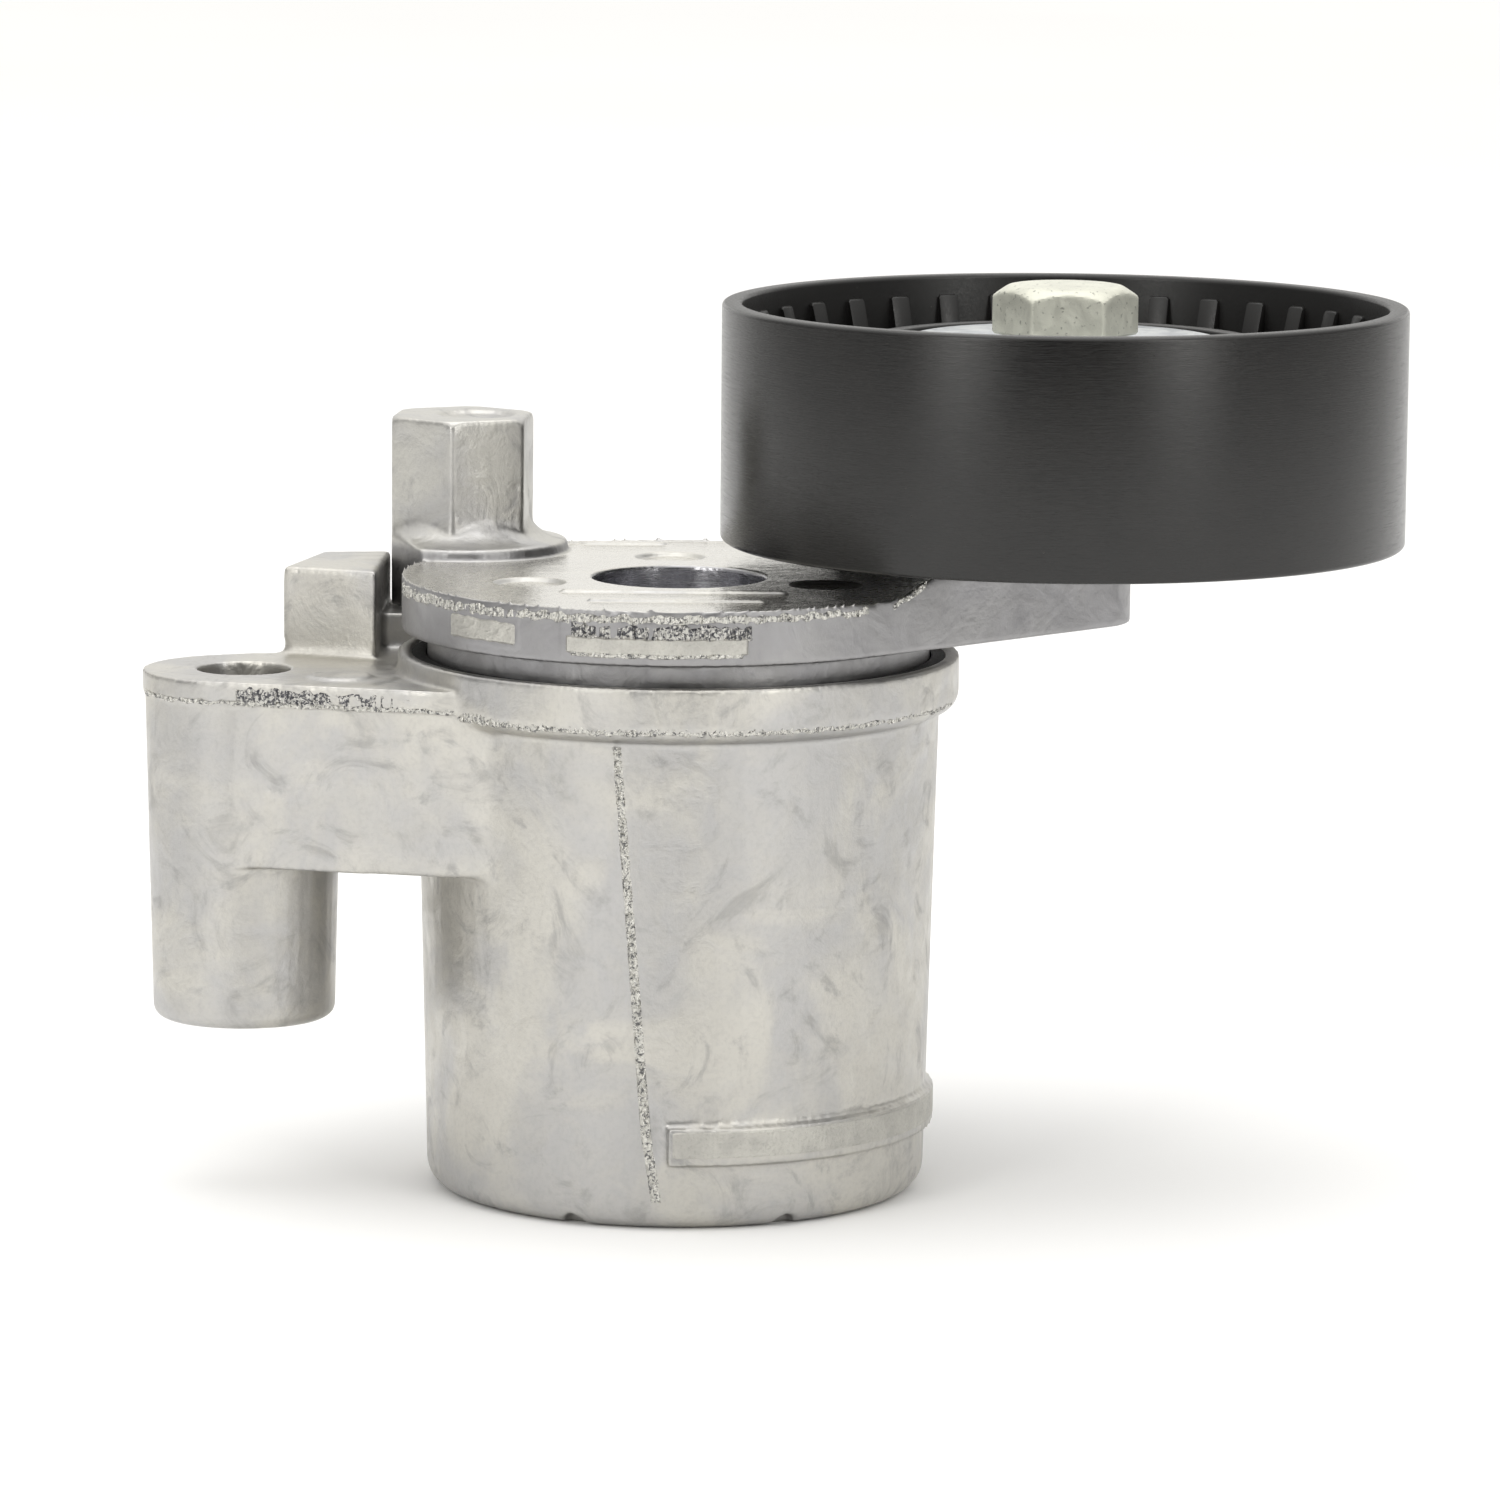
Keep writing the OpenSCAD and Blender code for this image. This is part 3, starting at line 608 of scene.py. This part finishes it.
def torn_skin(name, line, low, high, proud, ragged, streak, tall, bite, seed, rows=16, sunk=0.14):
    """A thin ragged skin on a wall. low and high are heights at the start and the end of the line."""
    points, ways = line
    count = len(points)
    along = np.concatenate([[0], np.cumsum(np.linalg.norm(np.diff(points, axis=0), axis=1))])
    share = along / along[-1]
    bottom = low[0] + (low[1] - low[0]) * share + bite * value_noise(np.stack([along], 1), 0.7, seed + 1)
    top = high[0] + (high[1] - high[0]) * share + bite * value_noise(np.stack([along], 1), 0.6, seed + 2)
    u = np.repeat(along[:, None], rows, 1)
    t = np.repeat(np.linspace(0, 1, rows)[None, :], count, 0)
    z = bottom[:, None] * (1 - t) + top[:, None] * t
    flat = np.stack([u.ravel() / streak, z.ravel() / tall], 1)
    ridge = (1 - np.abs(value_noise(flat, 1.0, seed + 3))) ** 2
    crumbs = value_noise(flat * 2.3, 1.0, seed + 4)
    rough = np.clip(0.75 * ridge + 0.25 * crumbs, 0, 1).reshape(count, rows)
    fade = smoothstep(0, 0.14, t) * (1 - smoothstep(0.86, 1, t))
    fade *= smoothstep(0, 0.5, u) * smoothstep(0, 0.5, along[-1] - u)
    out = -sunk + fade * (sunk + proud * (1 - ragged + ragged * rough))
    xy = points[:, None, :] + ways[:, None, :] * out[:, :, None]
    verts = np.concatenate([xy, z[:, :, None]], 2).reshape(-1, 3)
    faces = [
        (i * rows + k, (i + 1) * rows + k, (i + 1) * rows + k + 1, i * rows + k + 1)
        for i in range(count - 1) for k in range(rows - 1)
    ]
    return make_object(name, verts, faces, smooth=False)


def flash(body, material, name, line, low, high, **skin):
    place(torn_skin(name, line, low, high, **skin), body, f"cast_{body}", material=material)


def direction(degrees):
    return np.array([math.cos(math.radians(degrees)), math.sin(math.radians(degrees))])


# round the head and up the step of the beam
STEP_TURN = -48
BEAM_WALL_TURN = -46.3
step_foot = HEAD_R * direction(STEP_TURN)
beam_out = direction(BEAM_WALL_TURN)
beam_along = np.array([-beam_out[1], beam_out[0]])
flash("arm", "torn", "rim_flash", arc((0, 0), HEAD_R, -172, 125), (65.2, 65.75), (66.5, 66.6),
      proud=0.26, ragged=0.9, streak=0.34, tall=1.3, bite=0.22, seed=11)
step_line = straight(step_foot + 3.6 * beam_along, step_foot + 9 * beam_along, beam_out)
flash("arm", "torn", "step_flash", step_line, (65.9, 67.7), (66.5, 68.8),
      proud=0.26, ragged=0.9, streak=0.34, tall=1.3, bite=0.15, seed=12)
# gate pads on the rim of the head; the right one is torn above and lipped below
flash("arm", "gate_metal", "gate_pad_left", arc((0, 0), HEAD_R, -143, 19), (62.5, 62.5), (65.3, 65.0),
      proud=0.40, ragged=0.22, streak=0.8, tall=0.5, bite=0.08, seed=13)
flash("arm", "gate_metal", "gate_pad_right", arc((0, 0), HEAD_R, -113, 38), (62.2, 62.2), (64.2, 64.2),
      proud=0.42, ragged=0.15, streak=0.8, tall=0.6, bite=0.08, seed=14)
# this skin's dark finish paints shade into its torn grooves
flash("arm", "torn_shaded", "gate_tear", arc((0, 0), HEAD_R, -112, 38), (63.6, 63.6), (65.6, 65.5),
      proud=0.40, ragged=0.95, streak=0.55, tall=2.4, bite=0.3, seed=15, rows=20)
flash("arm", "torn", "gate_lip", arc((0, 0), HEAD_R, -112, 36), (61.95, 61.95), (62.65, 62.65),
      proud=0.43, ragged=0.35, streak=0.6, tall=0.5, bite=0.1, seed=16, rows=10)
# lower edge of the collar, set in a little so that the skin stays inside the collar's own size
flash("base", "torn", "collar_flash", arc((0, 0), COLLAR_R - 0.18, -140.5, 128), (53.6, 53.9), (54.9, 54.55),
      proud=0.20, ragged=0.9, streak=0.38, tall=0.5, bite=0.16, seed=17, rows=10)

# edge of the plate over the front boss: round the boss, then straight to the collar
PLATE_WALL_TURN = -104.9
plate_arc = arc(FRONT_EAR, PLATE_R, -165, 60)
wall_out = direction(PLATE_WALL_TURN)
plate_line = straight(plate_arc[0][-1], PLATE_END, wall_out)
plate_edge = tuple(np.concatenate([bend, line[1:]]) for bend, line in zip(plate_arc, plate_line))
tear_line = straight(plate_line[0][0] + (2.5, -0.7), PLATE_END - (3.2, -0.85), wall_out)
flash("base", "torn", "plate_flash", plate_edge, (54.2, 54.2), (54.75, 54.75),
      proud=0.20, ragged=0.85, streak=0.4, tall=0.5, bite=0.18, seed=18, rows=10)
# this skin's dark finish paints shade into its torn grooves
flash("base", "torn_shaded", "plate_tear", tear_line, (54.5, 54.5), (56.2, 56.1),
      proud=0.16, ragged=0.95, streak=0.6, tall=1.1, bite=0.3, seed=19)


def seam_mark():
    """Broken dashes of a parting line down the front of the cup."""
    heights = np.linspace(52.2, 3.2, 620)
    turn = np.radians(np.interp(heights, [3.2, 10.6, 52.2], [-93.6, -96.0, -102.6]))
    half = 0.55
    across = np.linspace(-half, half, 8)
    verts, faces = [], []
    present = value_noise(np.stack([heights], 1), 0.85, 31)
    over_band = smoothstep(9.5, 12.5, heights)
    strength = over_band + 0.55 * (1 - over_band)
    for row, (z, a) in enumerate(zip(heights, turn)):
        r = cup_radius(z)
        for col, w in enumerate(across):
            grit = hash01(np.array([[row // 2, col]]), 32)[0]
            edge = 1 - abs(w / half) ** 4
            height = 0.20 if present[row] > -0.3 else 0.09
            out = -0.08 + edge * strength[row] * height * (0.6 + 0.6 * grit)
            shift = a + w / r
            verts.append(((r + out) * math.cos(shift), (r + out) * math.sin(shift), z))
            if row and col:
                here = row * len(across) + col
                faces.append((here, here - 1, here - 1 - len(across), here - len(across)))
    return make_object("cup_seam", verts, faces, smooth=False)


place(seam_mark(), "base", "cast_base", material="torn")


def band_skin():
    """The raised band round the foot of the cup: blasted face, rounded ends, chamfered lower edge."""
    low, high, start, sweep = 7.25, 11.35, -91.2, 200.4
    corner, wall_r, face_r = 1.3, 27.3, 28.23
    turns = np.radians(np.linspace(start, start + sweep, 1100))
    rows = np.linspace(0, 1, 22)
    length = (turns - turns[0]) * 28.2
    verts, faces = [], []
    for i, a in enumerate(turns):
        side = min(length[i], length[-1] - length[i])
        bite = corner - math.sqrt(max(0.0, corner ** 2 - max(0.0, corner - side) ** 2))
        bottom, top = low + bite, high - bite
        for k, t in enumerate(rows):
            z = bottom + (top - bottom) * t
            rise = smoothstep(0, 0.24, t) * (1 - smoothstep(0.90, 1, t)) * smoothstep(-0.1, 0.7, side)
            grain = 0.035 * (hash01(np.array([[i, k]]), 41)[0] - 0.5) * rise
            r = wall_r + (face_r - wall_r) * rise + grain
            verts.append((r * math.cos(a), r * math.sin(a), z))
            if i and k:
                here = i * len(rows) + k
                faces.append((here, here - 1, here - 1 - len(rows), here - len(rows)))
    return make_object("foot_band", verts, faces)


place(band_skin(), "base", "cast_base", material="gate_metal")


# ---------------------------------------------------------------- pulley
def pulley_profile():
    mid = PULLEY_C[2]
    low, high = PULLEY_LOW[2], PULLEY_HIGH[2]
    web = 1.8
    inner = PULLEY_R - RIM_T
    hub_r, seat_r, lip_r, lip_h = 22.0, 20.0, 18.6, 1.2
    hub_top, hub_low = high - 3.9, low + 5.5
    race_low, race_high = OUTER_RING_LOW[2], OUTER_RING_HIGH[2]
    outline = [
        (PULLEY_R, low), (PULLEY_R, high), (inner, high), (inner + 0.15, mid + web),
        (hub_r + 0.15, mid + web), (hub_r, hub_top), (seat_r, hub_top), (seat_r, race_high + lip_h),
        (lip_r, race_high + lip_h), (lip_r, race_high), (seat_r, race_high), (seat_r, race_low),
        (lip_r, race_low), (lip_r, race_low - lip_h), (seat_r, race_low - lip_h), (seat_r, hub_low),
        (hub_r, hub_low), (hub_r + 0.15, mid - web), (inner + 0.15, mid - web), (inner, low),
    ]
    upper_radii = [0.5, 0.45, 1.0, 1.0, 0.4, 0.3, 0.2, 0.3, 0.15, 0.1]
    radii = [0.5] + upper_radii + upper_radii[:0:-1]
    return rounded(outline, radii)


def rib(side, turn):
    """One triangular stiffening rib with soft edges, as verts and faces."""
    mid = PULLEY_C[2]
    inner = PULLEY_R - RIM_T + 0.3
    tip = PULLEY_W / 2 - 2.2
    outline = rounded(
        [(32.3, side * 1.6), (inner, side * 1.6), (inner, side * tip), (inner - 0.7, side * tip)],
        [0.1, 0.1, 0.1, 0.3], 3,
    )
    if side < 0:
        outline = outline[::-1]
    count = len(outline)
    bevel = 0.22
    centre = outline.mean(0)
    verts, faces = [], []
    half = RIB_T / 2
    for y, shrink in ((-half, bevel), (-half + bevel, 0), (half - bevel, 0), (half, bevel)):
        for r, z in outline:
            way = centre - np.array([r, z])
            step = shrink * way / (np.linalg.norm(way) + 1e-9)
            x = r + step[0]
            verts.append((
                PULLEY_C[0] + x * math.cos(turn) - y * math.sin(turn),
                PULLEY_C[1] + x * math.sin(turn) + y * math.cos(turn),
                mid + z + step[1],
            ))
    for layer in range(3):
        a, b = layer * count, (layer + 1) * count
        for k in range(count):
            m = (k + 1) % count
            faces.append((a + k, a + m, b + m, b + k))
    faces.append(tuple(range(count))[::-1])
    faces.append(tuple(3 * count + k for k in range(count)))
    return verts, faces


ribs = [rib(side, 2 * math.pi * i / RIB_COUNT) for i in range(RIB_COUNT) for side in (-1, 1)]
pulley = make_object("idler_pulley", *joined(lathe(pulley_profile(), PULLEY_C[:2], 288), *ribs))
place(sharpen(pulley, 50), "pulley_wheel", "pulley_plastic", "pulley")


# ---------------------------------------------------------------- bolt and covers
def hex_head(centre, across, low, high, top_r, segments=216):
    """A forged hexagon head with a turned chamfer, as verts and faces."""
    apothem = across / 2
    corner = apothem / math.cos(math.pi / 6)
    chamfer_slope = 1.55
    height = high - low
    levels = [(0.0, 0.25), (0.05, 0.0), (0.55, 0.0)]
    levels += [(0.55 + 0.4 * k / 10, 0.0) for k in range(1, 11)]
    levels += [(0.985, 0.06), (1.0, 0.35)]
    verts, faces = [], []
    for part, inset in levels:
        z = low + part * height
        limit = top_r + (high - z) * chamfer_slope
        for s in range(segments):
            a = 2 * math.pi * s / segments
            off = a % (math.pi / 3) - math.pi / 6
            flat = min(apothem / math.cos(off), corner * 0.985)
            blend = -math.log(math.exp(-8 * flat) + math.exp(-8 * limit)) / 8
            r = blend - inset
            verts.append((centre[0] + r * math.cos(a), centre[1] + r * math.sin(a), z))
    for level in range(len(levels) - 1):
        a, b = level * segments, (level + 1) * segments
        for s in range(segments):
            m = (s + 1) % segments
            faces.append((a + s, a + m, b + m, b + s))
    top = (len(levels) - 1) * segments
    verts += [(centre[0], centre[1], high), (centre[0], centre[1], low)]
    for s in range(segments):
        m = (s + 1) % segments
        faces.append((top + s, top + m, len(verts) - 2))
        faces.append((m, s, len(verts) - 1))
    return verts, faces


bolt_base = COVER_HIGH[2]
shank = spun([
    (0, BOLT_LOW[2]), (BOLT_R - 0.8, BOLT_LOW[2]), (BOLT_R, BOLT_LOW[2] + 0.8),
    (BOLT_R, bolt_base + 0.2), (0, bolt_base + 0.2),
], BOLT_C)
washer_face = spun([
    (0, bolt_base), (WASHER_FACE_R - 0.05, bolt_base), (WASHER_FACE_R, bolt_base + 0.12),
    (WASHER_FACE_R, bolt_base + 0.45), (WASHER_FACE_R - 0.6, bolt_base + 0.6), (0, bolt_base + 0.6),
], BOLT_C)
head = hex_head(BOLT_C, BOLT_ACROSS_FLATS, bolt_base + 0.42, BOLT_HIGH[2], 6.15)
bolt = make_object("hex_bolt", *joined(shank, washer_face, head))
place(sharpen(bolt, 28), "arm", "zinc_bolt", "pulley_bolt")


def cover_profile(low, high, radius, bore, lip, edge):
    """A pressed cover: flat plate with a turned-down lip, as a closed outline."""
    plate = low + lip
    return rounded(
        [
            (bore, plate), (bore, high), (radius, high),
            (radius, low), (radius - 1.2, low), (radius - 1.2, plate),
        ],
        [0.15, 0.2, edge, 0.3, 0.2, 0.3],
    )


top_profile = cover_profile(COVER_LOW[2], COVER_HIGH[2], COVER_R, COVER_BORE_R, 0.5, 0.8)
top_cover = make_object("pressed_cover", *lathe(top_profile, BOLT_C))
place(sharpen(top_cover, 40), "arm", "zinc_steel", "upper_dust_cover")
low_profile = rounded(
    [
        (COVER_BORE_R, LOWER_COVER_LOW[2]), (COVER_BORE_R, LOWER_COVER_HIGH[2]),
        (LOWER_COVER_R, LOWER_COVER_HIGH[2]), (LOWER_COVER_R, LOWER_COVER_LOW[2]),
    ],
    [0.15, 0.15, 0.4, 0.4],
)
low_cover = make_object("pressed_lower_cover", *lathe(low_profile, BOLT_C))
place(sharpen(low_cover, 40), "arm", "zinc_steel", "lower_dust_cover")


# ---------------------------------------------------------------- floor, lights and camera
def area_light(name, place_mm, aim_mm, size, power, colour=(1, 1, 1)):
    light = bpy.data.lights.new(name, "AREA")
    light.shape = "RECTANGLE"
    light.size, light.size_y = size
    light.energy = power
    light.color = colour
    obj = bpy.data.objects.new(name, light)
    obj.location = Vector(place_mm) * MM
    way = (Vector(aim_mm) - Vector(place_mm)).normalized()
    obj.rotation_euler = way.to_track_quat("-Z", "Y").to_euler()
    bpy.context.scene.collection.objects.link(obj)
    return obj


FLOOR = 6000
floor_corners = [(-FLOOR, -FLOOR, 0), (FLOOR, -FLOOR, 0), (FLOOR, FLOOR, 0), (-FLOOR, FLOOR, 0)]
floor = make_object("studio_floor", floor_corners, [(0, 1, 2, 3)])
paper = Shader("studio_paper", Roughness=0.9)
paper_tone = paper.noise(400, 2, 0.5)
floor.data.materials.append(paper.done(
    paper.mix(paper.ramp(paper_tone, 0.3, 0.7), (0.93, 0.93, 0.93), (0.95, 0.95, 0.95)), 0.9))

world = bpy.data.worlds.new("studio")
bpy.context.scene.world = world
world.use_nodes = True


def studio_world(tree, levels, above):
    """A room lit by direction: levels are (how far towards +Y, strength), above is the strength overhead."""
    way = tree.nodes.new("ShaderNodeSeparateXYZ")
    tree.links.new(tree.nodes.new("ShaderNodeTexCoord").outputs["Generated"], way.inputs[0])
    spread = tree.nodes.new("ShaderNodeMapRange")
    spread.inputs["From Min"].default_value = -1
    tree.links.new(way.outputs["Y"], spread.inputs["Value"])
    ramp = tree.nodes.new("ShaderNodeValToRGB")
    ramp.color_ramp.interpolation = "EASE"
    stops = ramp.color_ramp.elements
    while len(stops) < len(levels):
        stops.new(0.5)
    for stop, (towards, strength) in zip(stops, levels):
        stop.position = (towards + 1) / 2
        stop.color = (strength, strength, strength, 1)
    tree.links.new(spread.outputs["Result"], ramp.inputs["Fac"])
    high = tree.nodes.new("ShaderNodeMapRange")
    high.interpolation_type = "SMOOTHSTEP"
    high.inputs["From Min"].default_value = 0.25
    high.inputs["From Max"].default_value = 0.8
    tree.links.new(way.outputs["Z"], high.inputs["Value"])
    both = tree.nodes.new("ShaderNodeMix")
    tree.links.new(high.outputs["Result"], both.inputs["Factor"])
    tree.links.new(ramp.outputs["Color"], both.inputs["A"])
    both.inputs["B"].default_value = above
    tree.links.new(both.outputs["Result"], tree.nodes["Background"].inputs["Strength"])


world.node_tree.nodes["Background"].inputs["Color"].default_value = (1.0, 0.99, 0.965, 1)
studio_world(world.node_tree, [(-0.9, 0.03), (-0.45, 0.38), (0.62, 0.42), (0.72, 1.05)], 1.3)

AIM = (10, 0, 60)
area_light("left_softbox", (-560, -820, 420), AIM, (0.30, 0.7), 2.4, (1.0, 0.99, 0.96))
area_light("right_softbox", (640, -800, 420), AIM, (0.30, 0.7), 2.4, (1.0, 0.99, 0.96))
area_light("top_softbox", (0, 100, 1100), AIM, (0.9, 0.9), 3.0)

CAMERA_PLACE = (7.86, -821.6, 174.68)
PITCH_DOWN = 8.78
ROLL = 0.5
camera_data = bpy.data.cameras.new("photo_camera")
camera_data.lens = 183.1
camera_data.sensor_width = 36
camera_data.clip_end = 50
camera = bpy.data.objects.new("photo_camera", camera_data)
bpy.context.scene.collection.objects.link(camera)
camera.matrix_world = (
    Matrix.Translation(Vector(CAMERA_PLACE) * MM)
    @ Matrix.Rotation(math.radians(90 - PITCH_DOWN), 4, "X")
    @ Matrix.Rotation(math.radians(ROLL), 4, "Z")
)
bpy.context.scene.camera = camera
bpy.context.scene.view_settings.view_transform = "Standard"
